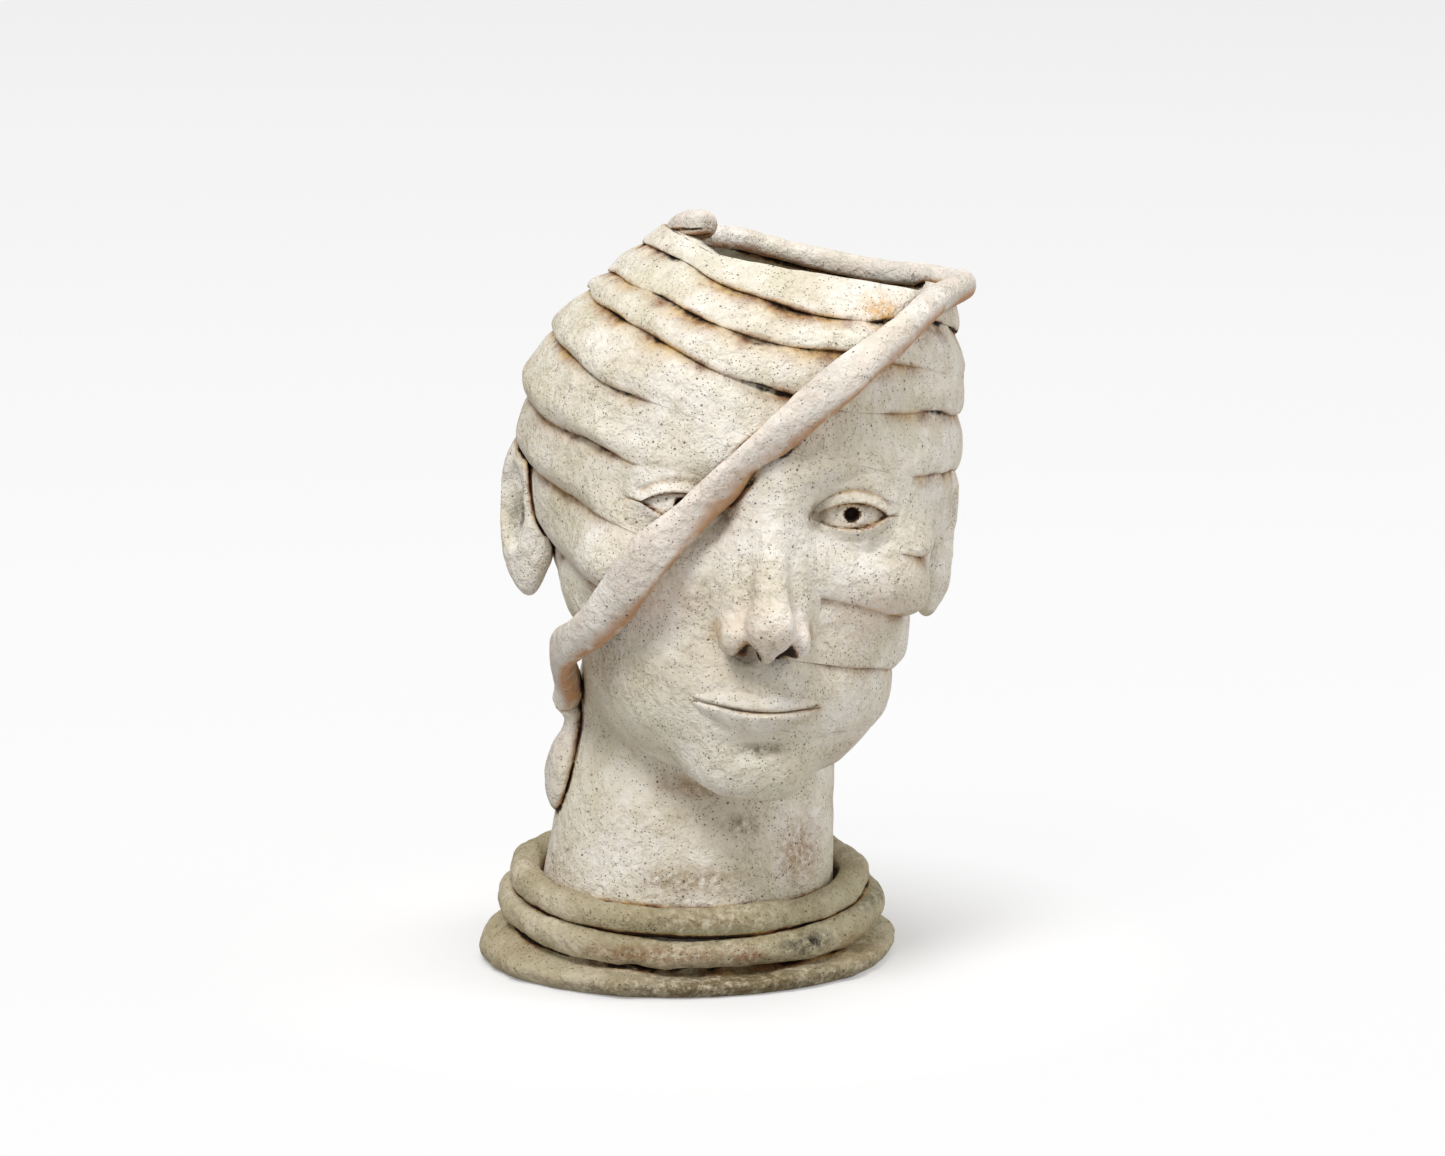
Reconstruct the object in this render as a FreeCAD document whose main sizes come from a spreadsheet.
import FreeCAD, Part

import math
import os

# A hollow ceramic head vase, hand built from clay: a flared foot, a neck wall with two coils laid
# round it, and a head raised in slanting bands that lap over each other like shingles. One long
# coil makes the back of the mouth's rim and runs on across the face as a strap. Nose, lips, lids,
# eyeballs and ears are lumps of clay luted on. Millimetres, +Z up, the face looks along -Y, and
# the origin is the middle of the foot's resting face.

# Driving dimensions: name, value, what it measures.
SIZES = [
    ("foot_half_width", 84, "foot, half its width along X"),
    ("foot_half_depth", 75, "foot, half its depth along Y"),
    ("foot_edge", 9, "height of the foot's thin edge"),
    ("foot_edge_draft", 3, "how far the edge leans in to the table"),
    ("foot_rise", 21, "height of the foot's top, in the middle"),
    ("foot_shoulder", 17, "how far the foot's top is set in from its edge"),
    ("floor_thick", 8, "floor of the vase"),
    ("collar_slope", 0.115, "rise of the collar coils to the back, mm per mm"),
    ("low_coil_half_width", 71, "lower collar coil, centre line, half width"),
    ("low_coil_half_depth", 64, "lower collar coil, centre line, half depth"),
    ("low_coil_height", 22.2, "lower collar coil, centre line, height"),
    ("low_coil_radius", 6.5, "lower collar coil, radius of the clay roll"),
    ("top_coil_inset", 5, "how far the upper coil lies inside the lower one"),
    ("top_coil_rise", 10.5, "upper coil's centre line above the lower one's"),
    ("top_coil_radius", 5.9, "upper collar coil, radius of the clay roll"),
    ("neck_base_half_width", 60, "neck at the foot, half width"),
    ("neck_base_half_depth", 54, "neck at the foot, half depth"),
    ("neck_mid_half_width", 56, "neck at mid height, half width"),
    ("neck_mid_half_depth", 51, "neck at mid height, half depth"),
    ("neck_top_half_width", 50, "neck under the jaw, half width"),
    ("neck_top_half_depth", 46, "neck under the jaw, half depth"),
    ("neck_mid_height", 58, "height of the neck's middle section"),
    ("neck_base_shift", -3, "neck's middle at the foot, along X"),
    ("neck_mid_shift", 2, "neck's middle at mid height, along X"),
    ("neck_top_shift", 10, "neck's middle under the jaw, along X"),
    ("neck_top_back", 5, "neck's middle under the jaw, along Y"),
    ("neck_entry", 16, "how far the neck stands up inside the head"),
    ("wall", 9, "thickness of the clay walls"),
    ("head_height", 232, "crown to chin, before the mouth is cut"),
    ("head_width", 170, "skull, side to side"),
    ("head_depth", 194, "skull, front to back"),
    ("head_shift", 21, "eye line's middle, along X"),
    ("eye_height", 187, "eye line above the table"),
    ("head_lean", 4.5, "lean of the head towards +X, degrees"),
    ("head_turn", 10, "turn of the face towards -X, degrees"),
    ("skull_rise", 22, "skull's middle above the eye line"),
    ("skull_back", 9, "skull's middle behind the head's middle"),
    ("crown_bend", 16, "how far the crown bends over towards +X"),
    ("crown_pinch", 0.22, "share by which the crown is pressed back in front"),
    ("crown_pinch_back", 0.6, "share by which the crown is pressed forward behind"),
    ("face_half_width", 69, "face, half width"),
    ("face_forward", 93, "face plane in front of the head's middle"),
    ("jaw_half_width", 60, "jaw, half width"),
    ("jaw_forward", 90, "jaw's front in front of the head's middle"),
    ("nape_half_width", 58, "root of the neck under the skull, half width"),
    ("nape_half_depth", 53, "root of the neck under the skull, half depth"),
    ("chin_forward", 95, "chin's foremost point"),
    ("chin_half_width", 26, "chin, half width"),
    ("brow_height", 17, "brow ridge above the eye line"),
    ("brow_forward", 92, "brow ridge, foremost point"),
    ("cheek_forward", 80, "cheekbone, foremost point"),
    ("cheek_half_span", 46, "cheekbone's middle from the middle plane"),
    ("eye_half_gap", 31, "eye's middle from the middle plane"),
    ("socket_half_width", 20, "eye socket, half width"),
    ("socket_half_height", 13, "eye socket, half height"),
    ("socket_floor", 76, "eye socket's floor in front of the head's middle"),
    ("eyeball_radius", 16, "eyeball"),
    ("eyeball_stand", 6, "how far an eyeball stands out of its socket's floor"),
    ("lid_thick", 2.4, "eyelids, thickness"),
    ("lid_upper_edge", 21, "upper lid's edge above the gaze, degrees"),
    ("lid_lower_edge", 20, "lower lid's edge below the gaze, degrees"),
    ("nose_forward", 120, "tip of the nose in front of the head's middle"),
    ("nose_tip_height", -42, "tip of the nose above the eye line"),
    ("nose_base_height", -51, "base of the nose above the eye line"),
    ("nose_half_width", 16, "wings of the nose, half width"),
    ("mound_forward", 97, "mound that carries the lips, foremost point"),
    ("lips_forward", 103, "lips, foremost point"),
    ("lips_half_width", 26, "lips, half width"),
    ("lip_line", -72, "line between the lips above the eye line"),
    ("ear_half_height", 33, "ear, half height"),
    ("ear_half_depth", 17, "ear, half its depth front to back"),
    ("ear_half_thick", 9, "ear, half thickness"),
    ("ear_middle_height", -17, "ear's middle above the eye line"),
    ("ear_middle_back", 12, "ear's middle behind the head's middle"),
    ("ear_flare", 22, "how far an ear turns out from the head, degrees"),
    ("band_step", 3, "how far a band's lower edge stands out"),
    ("seam_roll", -0.30, "fall of the seams towards +X, mm per mm"),
    ("seam_pitch", 0.17, "rise of the seams to the back, mm per mm"),
    ("mouth_height", 278.5, "mouth's plane on the head's axis"),
    ("mouth_roll", -0.26, "fall of the mouth's plane towards +X"),
    ("mouth_fall", -0.11, "rise of the mouth's plane to the back"),
    ("seam_1_height", 265.8, "seam 1 on the head's axis"),
    ("seam_2_height", 253.6, "seam 2 on the head's axis"),
    ("seam_3_height", 241.8, "seam 3 on the head's axis"),
    ("seam_4_height", 222, "seam 4 on the head's axis"),
    ("seam_5_height", 195, "seam 5 on the head's axis"),
    ("seam_6_height", 171, "seam 6 on the head's axis"),
    ("seam_7_height", 146, "seam 7 on the head's axis"),
    ("seam_8_height", 121, "seam 8 on the head's axis"),
    ("jaw_plane_height", 96, "jaw's underside on the head's axis"),
    ("jaw_roll", -0.08, "fall of the jaw's underside towards +X"),
    ("jaw_pitch", 0.30, "rise of the jaw's underside to the back"),
    ("rim_radius", 5.8, "coil on the back of the mouth's rim, radius"),
    ("strap_width", 17, "strap across the face, width where it is pressed flat"),
    ("strap_thick", 10.5, "strap across the face, thickness where it is pressed flat"),
    ("coil_press", 2, "how deep a coil is pressed into what carries it"),
    ("tail_width", 24, "strap's tail beside the neck, width"),
    ("tail_thick", 11, "strap's tail beside the neck, thickness"),
]

doc = FreeCAD.newDocument("head_vase")
sheet = doc.addObject("Spreadsheet::Sheet", "dims")
for row, (alias, value, meaning) in enumerate(SIZES, 1):
    sheet.set("A%d" % row, alias)
    sheet.set("B%d" % row, str(value))
    sheet.set("C%d" % row, meaning)
    sheet.setAlias("B%d" % row, alias)
doc.recompute()

Vector = FreeCAD.Vector


def size(alias):
    """The sheet's value of a driving dimension."""
    return float(sheet.get(alias))


def primitive(kind, name, bound):
    """A Part primitive whose properties are bound to expressions of the sheet."""
    made = doc.addObject("Part::" + kind, name)
    for prop, expression in bound.items():
        made.setExpression(prop, expression)
    return made


def cut(name, base, tool):
    made = doc.addObject("Part::Cut", name)
    made.Base = base
    made.Tool = tool
    made.Refine = False
    return made


def loft(name, sections):
    made = doc.addObject("Part::Loft", name)
    made.Sections = sections
    made.Solid = True
    return made


def feature(name, shape):
    made = doc.addObject("Part::Feature", name)
    made.Shape = shape
    return made


# ---------------------------------------------------------------- foot, collar coils and neck
def ellipse(name, half_width, half_depth, height, shift="0", back="0", slope="0"):
    """An ellipse round the vase's axis that rises to the back by its slope."""
    made = primitive("Ellipse", name, {
        "MajorRadius": half_width,
        "MinorRadius": half_depth,
        "Placement.Base.x": shift,
        "Placement.Base.y": back,
        "Placement.Base.z": height,
    })
    made.Placement.Rotation = FreeCAD.Rotation(Vector(1, 0, 0), 5)
    made.setExpression("Placement.Rotation.Angle", "atan(%s)" % slope)
    return made


foot_form = loft("foot_form", [
    ellipse("foot_sole", "dims.foot_half_width - dims.foot_edge_draft",
            "dims.foot_half_depth - dims.foot_edge_draft", "0"),
    ellipse("foot_widest", "dims.foot_half_width", "dims.foot_half_depth",
            "dims.foot_edge * 0.6"),
    ellipse("foot_edge_top", "dims.foot_half_width - 2.5", "dims.foot_half_depth - 2.5",
            "dims.foot_edge", slope="dims.collar_slope * 0.3"),
    ellipse("foot_top", "dims.foot_half_width - dims.foot_shoulder",
            "dims.foot_half_depth - dims.foot_shoulder", "dims.foot_rise",
            slope="dims.collar_slope"),
])


def collar_coil(name, half_width, half_depth, height, radius):
    """A clay roll laid round the neck in a plane that rises to the back."""
    spine = ellipse(name + "_spine", half_width, half_depth, height, slope="dims.collar_slope")
    roll = primitive("Circle", name + "_roll", {
        "Radius": radius,
        "Placement.Base.x": half_width,
        "Placement.Base.z": height,
    })
    roll.Placement.Rotation = FreeCAD.Rotation(Vector(1, 0, 0), 90)
    roll.setExpression("Placement.Rotation.Angle", "90 deg + atan(dims.collar_slope)")
    coil = doc.addObject("Part::Sweep", name + "_form")
    coil.Sections = [roll]
    coil.Spine = (spine, ["Edge1"])
    coil.Solid = True
    coil.Frenet = True
    return coil


# The lower roll's ends meet at -X and the upper one's at +X, so that no joint lies over another.
low_coil = doc.addObject("Part::Mirroring", "low_coil")
low_coil.Source = collar_coil("low_coil", "dims.low_coil_half_width", "dims.low_coil_half_depth",
                              "dims.low_coil_height", "dims.low_coil_radius")
low_coil.Normal = Vector(1, 0, 0)
top_coil = collar_coil("top_coil", "dims.low_coil_half_width - dims.top_coil_inset",
                       "dims.low_coil_half_depth - dims.top_coil_inset",
                       "dims.low_coil_height + dims.top_coil_rise", "dims.top_coil_radius")


def neck_loft(name, inset, entry):
    """The neck's outer form, or its bore where inset is the wall."""
    return loft(name, [
        ellipse(name + "_base", "dims.neck_base_half_width - " + inset,
                "dims.neck_base_half_depth - " + inset, "dims.floor_thick",
                "dims.neck_base_shift"),
        ellipse(name + "_mid", "dims.neck_mid_half_width - " + inset,
                "dims.neck_mid_half_depth - " + inset, "dims.neck_mid_height",
                "dims.neck_mid_shift"),
        ellipse(name + "_top", "dims.neck_top_half_width - " + inset,
                "dims.neck_top_half_depth - " + inset,
                "dims.jaw_plane_height + dims.neck_entry + " + entry,
                "dims.neck_top_shift", "dims.neck_top_back", "dims.jaw_pitch"),
    ])


neck_form = neck_loft("neck_form", "0", "0")
neck_bore = neck_loft("neck_bore", "dims.wall", "2 * dims.wall")
neck_wall = cut("neck_wall", neck_form, neck_bore)
foot_slab = cut("foot_slab", cut("foot_socketed", foot_form, neck_form), low_coil)
collar_coil_lower = cut("collar_coil_lower", low_coil, neck_form)
collar_coil_upper = cut("collar_coil_upper", cut("top_coil_seated", top_coil, low_coil), neck_form)
doc.recompute()

# ---------------------------------------------------------------- the head's form
# The form is a handful of ellipsoids run together, as a head is blocked out in clay. A lump is
# (middle, radii, blend, sign) in the head's own directions: side, forward and up from the eye line.
ADDED, HOLLOWED = 1, -1
HALF_HEIGHT = size("head_height") / 2


def head_lumps():
    lumps = []

    def lump(middle, radii, blend, sign=ADDED):
        for side in (1, -1) if middle[0] else (1,):
            lumps.append(((side * middle[0], middle[1], middle[2]), radii, blend, sign))

    # skull, face, jaw, nape, chin
    rise = size("skull_rise")
    lump((0, -size("skull_back"), rise),
         (size("head_width") / 2, size("head_depth") / 2, HALF_HEIGHT - rise), 10)
    lump((0, size("face_forward") - 64, -22), (size("face_half_width"), 64, HALF_HEIGHT - 26), 12)
    lump((0, size("jaw_forward") - 50, 46 - HALF_HEIGHT), (size("jaw_half_width"), 50, 42), 12)
    lump((0, -4, 34 - HALF_HEIGHT), (size("nape_half_width"), size("nape_half_depth"), 42), 14)
    lump((0, size("chin_forward") - 20, 17 - HALF_HEIGHT), (size("chin_half_width"), 20, 16), 12)
    # brow ridges, cheekbones, the mound of the lips, root of the nose, eye sockets
    gap = size("eye_half_gap")
    lump((0, size("brow_forward") - 62, size("brow_height")), (62, 62, 9), 9)
    lump((size("cheek_half_span"), size("cheek_forward") - 24, -24), (20, 24, 14), 16)
    lump((0, size("mound_forward") - 24, size("lip_line") + 2), (32, 24, 22), 14)
    lump((0, 78, 2), (9, 11, 18), 8)
    lump((gap, size("socket_floor") + 16, -1),
         (size("socket_half_width"), 16, size("socket_half_height")), 8, HOLLOWED)
    return lumps


def ellipsoid_distance(point, middle, radii):
    """About how far a point lies outside an ellipsoid, negative inside it."""
    near = far = 0.0
    for x, centre, radius in zip(point, middle, radii):
        share = (x - centre) / radius
        near += share * share
        far += (share / radius) ** 2
    if far < 1e-12:
        return -min(radii)
    return math.sqrt(near) * (math.sqrt(near) - 1) / math.sqrt(far)


def blended(a, b, blend):
    """The lesser of two distances, rounded where they meet."""
    mix = max(blend - abs(a - b), 0.0) / blend
    return min(a, b) - mix * mix * blend / 4


def eased(x, start, end):
    """0 up to start, 1 from end on, with a soft change between."""
    share = min(max((x - start) / (end - start), 0.0), 1.0)
    return share * share * (3 - 2 * share)


LUMPS = head_lumps()
LEAN, TURN = math.radians(size("head_lean")), math.radians(size("head_turn"))
SHIFT, EYES = size("head_shift"), size("eye_height")
BEND = size("crown_bend")
PINCH, PINCH_BACK = size("crown_pinch"), size("crown_pinch_back")


def head_directions(x, y, z):
    """A point of the frame as side, forward and up from the middle of the eye line."""
    across = (x - SHIFT) * math.cos(LEAN) - (z - EYES) * math.sin(LEAN)
    up = (z - EYES) * math.cos(LEAN) + (x - SHIFT) * math.sin(LEAN)
    side = across * math.cos(TURN) - y * math.sin(TURN)
    return side, -across * math.sin(TURN) - y * math.cos(TURN), up


def form(x, y, z):
    """About how far a point of the frame lies outside the head's form, negative inside it."""
    side, forward, up = head_directions(x, y, z)
    side -= BEND * eased(up, 30, HALF_HEIGHT)
    if forward > 0:
        forward /= 1 - PINCH * eased(up, 55, HALF_HEIGHT)
    else:
        forward /= 1 - PINCH_BACK * eased(up, 40, HALF_HEIGHT)
    distance = None
    for middle, radii, blend, sign in LUMPS:
        lump = ellipsoid_distance((side, forward, up), middle, radii)
        if distance is None:
            distance = lump
        elif sign == ADDED:
            distance = blended(distance, lump, blend)
        else:
            distance = -blended(-distance, lump, blend)
    return distance


def stepped(x, y, z):
    """1 where the bands stand out as steps, 0 where the face is smoothed over."""
    side, forward, up = head_directions(x, y, z)
    return max(eased(up, 32, 62), eased(abs(side), 50, 68), eased(-forward, -45, -15))


class Plane:
    """A slanting plane across the head: its height on the head's axis and its two slopes."""

    def __init__(self, height, roll, pitch):
        self.height, self.roll, self.pitch = height, roll, pitch

    def between(self, other, share):
        """The plane part of the way from this one to another."""
        return Plane(self.height + (other.height - self.height) * share,
                     self.roll + (other.roll - self.roll) * share,
                     self.pitch + (other.pitch - self.pitch) * share)

    def raised(self, rise):
        return Plane(self.height + rise, self.roll, self.pitch)

    def middle(self):
        """Where the head's axis meets the plane."""
        rise = self.height - EYES
        return SHIFT + rise * math.tan(LEAN) + BEND * eased(rise, 30, HALF_HEIGHT), 0.0, self.height


def reach(start, way, level):
    """How far from start, along way, the form grown by level is met from outside."""
    def outside(length):
        point = [a + length * b for a, b in zip(start, way)]
        return form(*point) > level * stepped(*point)

    far, stride = 150.0, 12.0
    while far > stride and outside(far - stride):
        far -= stride
    near = far - stride
    for _ in range(14):
        half = (near + far) / 2
        if outside(half):
            far = half
        else:
            near = half
    return near


def ring(plane, step=0.0, inset=0.0, points=48):
    """Points round the head in a plane, on the form stepped out or drawn in by the wall."""
    middle = plane.middle()
    curve = []
    for i in range(points):
        turn = 2 * math.pi * i / points
        angle = turn + math.pi / 2 - 0.35 * math.sin(turn)
        across, along = math.cos(angle), math.sin(angle)
        way = across, along, plane.roll * across + plane.pitch * along
        length = reach(middle, way, step) - inset
        curve.append(Vector(*[a + length * b for a, b in zip(middle, way)]))
    return curve


def closed_wire(points):
    spline = Part.BSplineCurve()
    spline.interpolate(Points=points, PeriodicFlag=True)
    return Part.Wire([spline.toShape()])


def lofted(rings):
    return Part.makeLoft([closed_wire(points) for points in rings], True, True)


# ---------------------------------------------------------------- bands, lip and jaw
BANDS = 8
WALL = size("wall")
MOUTH = Plane(size("mouth_height"), size("mouth_roll"), size("mouth_fall"))
SEAMS = [MOUTH]
for number in range(1, BANDS + 1):
    levelling = min(number / 4, 1)
    pitch = MOUTH.pitch + (size("seam_pitch") - MOUTH.pitch) * levelling
    SEAMS.append(Plane(size("seam_%d_height" % number), size("seam_roll"), pitch))
JAW = Plane(size("jaw_plane_height"), size("jaw_roll"), size("jaw_pitch"))

# (share of the way down the band, share of the step by which the surface stands out there)
BAND_PROFILE = ((0.0, 0.05), (0.3, 0.3), (0.65, 0.8), (0.9, 1.0), (1.0, 0.6))
FACE_PROFILE = ((0.0, 0.05), (0.13, 0.12), (0.27, 0.28), (0.41, 0.48), (0.55, 0.68), (0.69, 0.85),
                (0.83, 0.96), (0.93, 1.0), (1.0, 0.6))
FIRST_FACE_BAND = 5


def band_form(number):
    """A band before it is hollowed, from its top down to its rounded, proud lower edge."""
    upper, lower = SEAMS[number - 1], SEAMS[number]
    rings = []
    profile, points = BAND_PROFILE, 48
    if number >= FIRST_FACE_BAND:
        profile, points = FACE_PROFILE, 64
    if number == 1:
        rings = [ring(upper, inset=0.3 * WALL), ring(upper.raised(-1.2), inset=0.1 * WALL)]
        profile = BAND_PROFILE[1:]
    for share, out in profile:
        rings.append(ring(upper.between(lower, share), out * size("band_step"), points=points))
    return lofted(rings)


forms = [feature("band_form_%d" % number, band_form(number)) for number in range(1, BANDS + 1)]
jaw_rings = [ring(SEAMS[BANDS].between(JAW, share), inset=inset, points=64)
             for share, inset in ((0, 0), (0.25, 0), (0.5, 0), (0.75, 0), (0.93, 1.5), (1, 4.5))]
forms.append(feature("jaw_form", lofted(jaw_rings)))

cavity_rings = [[point + Vector(0, 0, WALL) for point in ring(MOUTH, inset=0.5 * WALL, points=32)],
                ring(MOUTH, inset=0.75 * WALL, points=32)]
for plane in SEAMS[1:]:
    cavity_rings.append(ring(plane, inset=WALL, points=32))
for share in (0.5, 1):
    plane = SEAMS[BANDS].between(JAW.raised(WALL), share)
    cavity_rings.append(ring(plane, inset=WALL, points=32))
cavity = feature("cavity", lofted(cavity_rings))

pieces = [foot_slab, collar_coil_lower, collar_coil_upper, neck_wall]
bands = []
for number in range(1, BANDS):
    name = "lip_band" if number == 1 else "head_band_%d" % number
    bands.append(cut(name, forms[number - 1], cavity))
last_band = cut("last_band_hollow", forms[BANDS - 1], cavity)
bands.append(cut("head_band_%d" % BANDS, last_band, neck_form))
jaw_wall = cut("jaw_wall", cut("jaw_hollow", forms[-1], cavity), neck_form)
pieces += bands + [jaw_wall]
doc.recompute()

# ---------------------------------------------------------------- rim coil and strap
RIM_RADIUS, PRESS = size("rim_radius"), size("coil_press")
STRAP_WIDTH, STRAP_THICK = size("strap_width"), size("strap_thick")


def outward(point):
    """The direction straight out of the head's form at a point."""
    probe = 0.5
    slope = []
    for axis in (Vector(probe, 0, 0), Vector(0, probe, 0), Vector(0, 0, probe)):
        ahead, behind = point + axis, point - axis
        slope.append(form(*ahead) - form(*behind))
    return Vector(*slope).normalize()


def on_head(bearing, height, stand):
    """A point so far off the head, at a bearing round its axis: 0 in front, 90 towards +X."""
    turn = math.radians(bearing)
    middle = Plane(height, 0, 0).middle()
    way = math.sin(turn), -math.cos(turn), 0.0
    length = reach(middle, way, 0)
    skin = Vector(*[a + length * b for a, b in zip(middle, way)])
    return skin + outward(skin) * stand


def rolled(stations, joined_before=None, joined_after=None):
    """A clay roll through stations of (middle, outward, width, thickness), ends closed. Where
    another roll goes on from an end, that roll's next station sets how the end is turned."""
    line = [joined_before or stations[0]] + stations + [joined_after or stations[-1]]
    wires = []
    for i, (middle, out, width, thick) in enumerate(stations):
        along = (line[i + 2][0] - line[i][0]).normalize()
        across = along.cross(out).normalize()
        out = across.cross(along).normalize()
        wide, thin = max(width, thick + 0.02) / 2, thick / 2
        edge = Part.Ellipse(middle + across * wide, middle + out * thin, middle)
        wires.append(Part.Wire([edge.toShape()]))
    return Part.makeLoft(wires, True, False)


# The rim coil starts as a rounded knob at the mouth's left end and runs round the back.
RIM_POINTS, KNOB, CORNER = 48, 16, -14
rim_path = ring(MOUTH, inset=WALL / 2, points=RIM_POINTS)
rim_stations = []
for i in range(KNOB, CORNER - 1, -1):
    share = (KNOB - i) / (KNOB - CORNER)
    swell = 0.4 + 0.9 * eased(share, -0.04, 0.05) - 0.3 * eased(share, 0.05, 0.2)
    middle = rim_path[i] + Vector(0, 0, RIM_RADIUS - PRESS)
    rim_stations.append((middle, Vector(0, 0, 1), 2 * RIM_RADIUS * swell, 2 * RIM_RADIUS * swell))

# The strap goes on from the rim coil: round the right corner, then down across the face. Each
# place is (bearing, height, how far it is pressed flat: 0 round, 1 flat).
STRAP = ((73, 263, 0), (52, 262, 0), (32, 257, 0.1), (13, 245, 0.3), (-6, 224, 0.65),
         (-24, 199, 0.9), (-36, 175, 1), (-48, 152, 1), (-65, 133, 1), (-86, 116, 0.9),
         (-99, 104, 0.8))
strap_stations = [rim_stations[-1]]
for bearing, height, pressed in STRAP:
    thick = 2 * RIM_RADIUS + (STRAP_THICK - 2 * RIM_RADIUS) * pressed
    width = 2 * RIM_RADIUS + (STRAP_WIDTH - 2 * RIM_RADIUS) * pressed
    middle = on_head(bearing, height, thick / 2 - PRESS + size("band_step"))
    strap_stations.append((middle, outward(middle), width, thick))

# The tail hangs on from the strap beside the neck and ends in a rounded knob.
TAIL = ((-96, 92, 0.9), (-96, 82, 1), (-95, 72, 0.9), (-95, 64, 0.6), (-95, 60, 0.2))
tail_stations = [strap_stations[-1]]


def on_neck(bearing, height, stand):
    """A point so far off the neck, at a bearing round the neck's own middle at that height."""
    levels = size("floor_thick"), size("neck_mid_height"), size("jaw_plane_height")

    def along(base, mid, top):
        total = 0.0
        for i, value in enumerate((base, mid, top)):
            for j in range(3):
                if j != i:
                    value *= (height - levels[j]) / (levels[i] - levels[j])
            total += value
        return total

    turn = math.radians(bearing)
    half_width = along(size("neck_base_half_width"), size("neck_mid_half_width"),
                       size("neck_top_half_width"))
    half_depth = along(size("neck_base_half_depth"), size("neck_mid_half_depth"),
                       size("neck_top_half_depth"))
    middle = Vector(along(size("neck_base_shift"), size("neck_mid_shift"), size("neck_top_shift")),
                    along(0, 0, size("neck_top_back")), height)
    out = Vector(math.sin(turn) / half_width, -math.cos(turn) / half_depth, 0).normalize()
    return middle + Vector(half_width * math.sin(turn), -half_depth * math.cos(turn), 0) \
        + out * stand, out


for bearing, height, fullness in TAIL:
    thick, width = size("tail_thick") * fullness, size("tail_width") * fullness
    middle, out = on_neck(bearing, height, thick / 2 - PRESS)
    tail_stations.append((middle, out, width, thick))

# Each roll's end faces the next one's.
rim_form = feature("rim_form", rolled(rim_stations, None, strap_stations[1]))
strap_form = feature("strap_form", rolled(strap_stations, rim_stations[-2], tail_stations[1]))
tail_form = feature("tail_form", rolled(tail_stations, strap_stations[-2], None))
doc.recompute()


# What is luted to the outside is cut to the bands and walls before they are hollowed, so that it
# lies on them.
def seated(name, piece, carriers):
    """The piece with its seat cut to whatever carries it."""
    for carrier in carriers:
        piece = cut(name + "_on_" + carrier.Name, piece, carrier)
    piece.Label = name
    pieces.append(piece)


# Bands 1 to 8 and then the jaw, as far as each piece reaches.
crown, eye_bands, eye_region, lower_face = forms[:4], forms[4:6], forms[3:7], forms[6:]
ear_region = {"left": forms[3:], "right": forms[3:7]}
seated("rim_coil", rim_form, crown)
seated("strap_tail", tail_form, forms[7:9] + [neck_form])

# ---------------------------------------------------------------- the face
POSE = FreeCAD.Rotation(Vector(0, 1, 0), size("head_lean")).multiply(
    FreeCAD.Rotation(Vector(0, 0, -1), size("head_turn")))
SIDES = {"left": "-1", "right": "1"}


def on_face(kind, name, bound, side, forward, up, turn=FreeCAD.Rotation()):
    """A primitive placed by expressions for side, forward and up from the eye line."""
    made = primitive(kind, name, bound)
    made.Placement.Rotation = POSE.multiply(turn)
    across = "((%s) * cos(dims.head_turn) - (%s) * sin(dims.head_turn))" % (side, forward)
    made.setExpression("Placement.Base.x", "dims.head_shift + %s * cos(dims.head_lean) + (%s) * "
                       "sin(dims.head_lean)" % (across, up))
    made.setExpression("Placement.Base.y", "-(%s) * sin(dims.head_turn) - (%s) * "
                       "cos(dims.head_turn)" % (side, forward))
    made.setExpression("Placement.Base.z", "dims.eye_height + (%s) * cos(dims.head_lean) - %s * "
                       "sin(dims.head_lean)" % (up, across))
    return made


# Eyeballs are clay balls pressed into the sockets, and the lids wrap them: the slice of a thicker
# ball, round an axis from corner to corner of the eye.
lid_shells = {}
for hand, sign in SIDES.items():
    eye = (sign + " * dims.eye_half_gap",
           "dims.socket_floor + dims.eyeball_stand - dims.eyeball_radius", "0")
    ball = on_face("Sphere", "ball_" + hand, {"Radius": "dims.eyeball_radius"}, *eye,
                   FreeCAD.Rotation(Vector(0, 0, 1), 90))
    for lid, start, sweep in (("upper", "lid_upper_edge", 75), ("lower", "lid_lower_edge", -60)):
        edge = size(start) if sweep > 0 else -size(start) + sweep
        turn = FreeCAD.Rotation(Vector(1, 0, 0), -edge).multiply(
            FreeCAD.Rotation(Vector(0, -1, 0), Vector(0, 0, 1), Vector(-1, 0, 0), "XZY"))
        shell = on_face("Sphere", "%s_lid_form_%s" % (lid, hand),
                        {"Radius": "dims.eyeball_radius + dims.lid_thick"}, *eye, turn)
        shell.Angle3 = abs(sweep)
        lid_shells[lid, hand] = shell
        seated("%s_eyelid_%s" % (lid, hand),
               cut("%s_lid_opened_%s" % (lid, hand), shell, ball), eye_region)
    seated("eyeball_" + hand, ball, eye_bands)

# The strap runs past the inner corner of one eye, so it lies on that eye's lower lid too.
seated("strap_coil", strap_form, forms + [neck_form, lid_shells["lower", "left"]])

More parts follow.
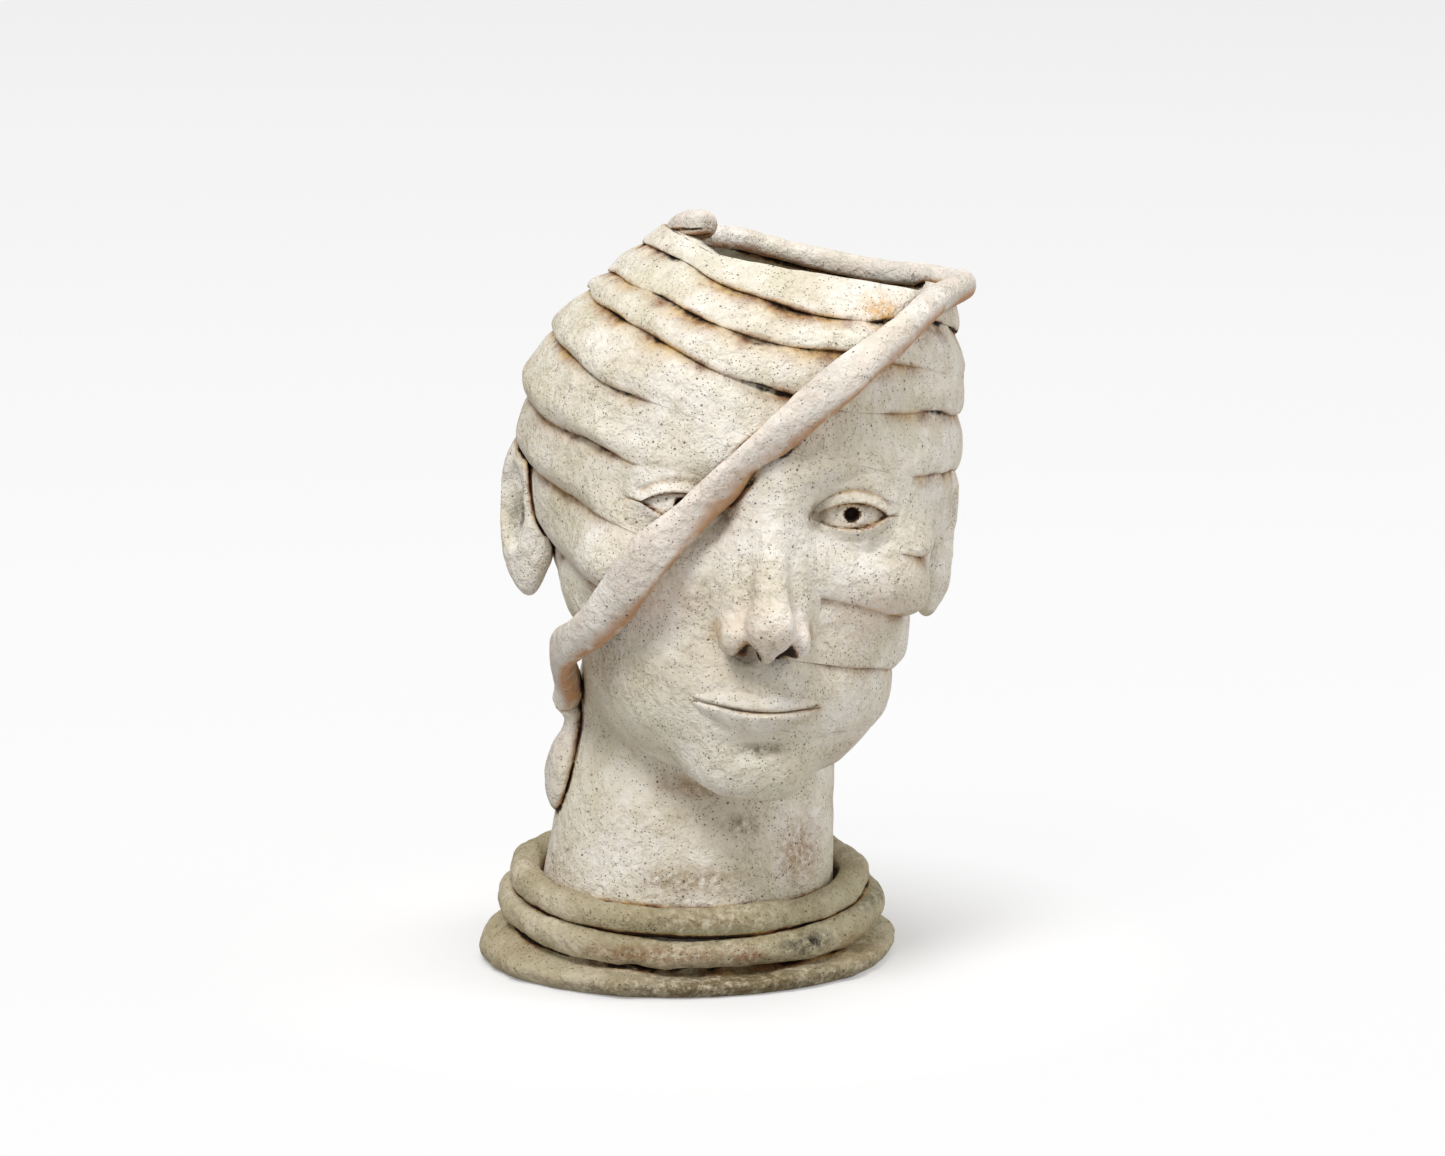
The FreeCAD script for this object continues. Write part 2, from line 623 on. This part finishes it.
# The nose is drawn up from ellipses, widest at its wings, with two nostrils pressed in.
NOSE = (("dims.brow_height - 8", "7", "5.5", 84), ("-13", "13", "8.5", 85), ("-28", "20", "11", 88),
        ("dims.nose_tip_height", "dims.nose_forward - 93", "dims.nose_half_width", 93),
        ("dims.nose_base_height", "dims.nose_forward - 100", "dims.nose_half_width - 3", 92))
sections = []
for i, (up, depth, half_width, forward) in enumerate(NOSE):
    sections.append(on_face("Ellipse", "nose_section_%d" % i,
                            {"MajorRadius": depth, "MinorRadius": half_width}, "0", str(forward),
                            up, FreeCAD.Rotation(Vector(0, 0, 1), 90)))
nose_form = loft("nose_form", sections)
for hand, sign in SIDES.items():
    nostril = on_face("Ellipsoid", "nostril_" + hand,
                      {"Radius1": "4", "Radius2": "3.4", "Radius3": "5.5"},
                      sign + " * dims.nose_half_width * 0.42", "dims.nose_forward - 17",
                      "dims.nose_base_height")
    nose_form = cut("nose_pierced_" + hand, nose_form, nostril)
seated("nose", nose_form, forms[3:])

# The lips meet on a straight line: each is a flattened roll cut off flat where they meet.
for lip, half_height, rise, back in (("upper", "7", "1.5", "1"), ("lower", "8.5", "-2.5", "2.5")):
    roll = on_face("Ellipsoid", lip + "_lip_roll",
                   {"Radius1": half_height, "Radius2": "dims.lips_half_width - " + back,
                    "Radius3": "12"}, "0", "dims.lips_forward - 12 - " + back,
                   "dims.lip_line + " + rise)
    waste = on_face("Box", lip + "_lip_waste", {
        "Length": "2 * dims.lips_half_width + 20", "Width": "60", "Height": "30"},
        "-dims.lips_half_width - 10", "dims.lips_forward + 20",
        "dims.lip_line - 30" if lip == "upper" else "dims.lip_line")
    seated(lip + "_lip", cut(lip + "_lip_flat", roll, waste), lower_face)

# ---------------------------------------------------------------- ears
for hand, sign in SIDES.items():
    flare = FreeCAD.Rotation(Vector(0, 0, 1), int(sign) * -size("ear_flare")).multiply(
        FreeCAD.Rotation(Vector(1, 0, 0), -10))
    place = (sign + " * (dims.head_width / 2 - 3)", "-dims.ear_middle_back",
             "dims.ear_middle_height")
    leaf = on_face("Ellipsoid", "ear_leaf_" + hand, {
        "Radius1": "dims.ear_half_height", "Radius2": "dims.ear_half_thick",
        "Radius3": "dims.ear_half_depth"}, *place, flare)
    bowl = on_face("Ellipsoid", "ear_bowl_" + hand, {
        "Radius1": "dims.ear_half_height * 0.55", "Radius2": "dims.ear_half_thick * 0.8",
        "Radius3": "dims.ear_half_depth * 0.6"}, sign + " * (dims.head_width / 2 + 5)",
        "3 - dims.ear_middle_back", "dims.ear_middle_height + 2", flare)
    seated("ear_" + hand, cut("ear_hollowed_" + hand, leaf, bowl), ear_region[hand])
doc.recompute()

# ---------------------------------------------------------------- checks and files
os.makedirs("parts", exist_ok=True)
for made in doc.Objects:
    if "Invalid" in made.State or "Error" in made.State:
        raise RuntimeError("%s did not build" % made.Label)
for piece in pieces:
    if piece.Shape.isNull() or not piece.Shape.isValid():
        raise RuntimeError("%s is not a valid solid" % piece.Label)
    print(piece.Label, len(piece.Shape.Solids), round(piece.Shape.Volume / 1000, 1))
    piece.Shape.exportStep("parts/%s.step" % piece.Label)
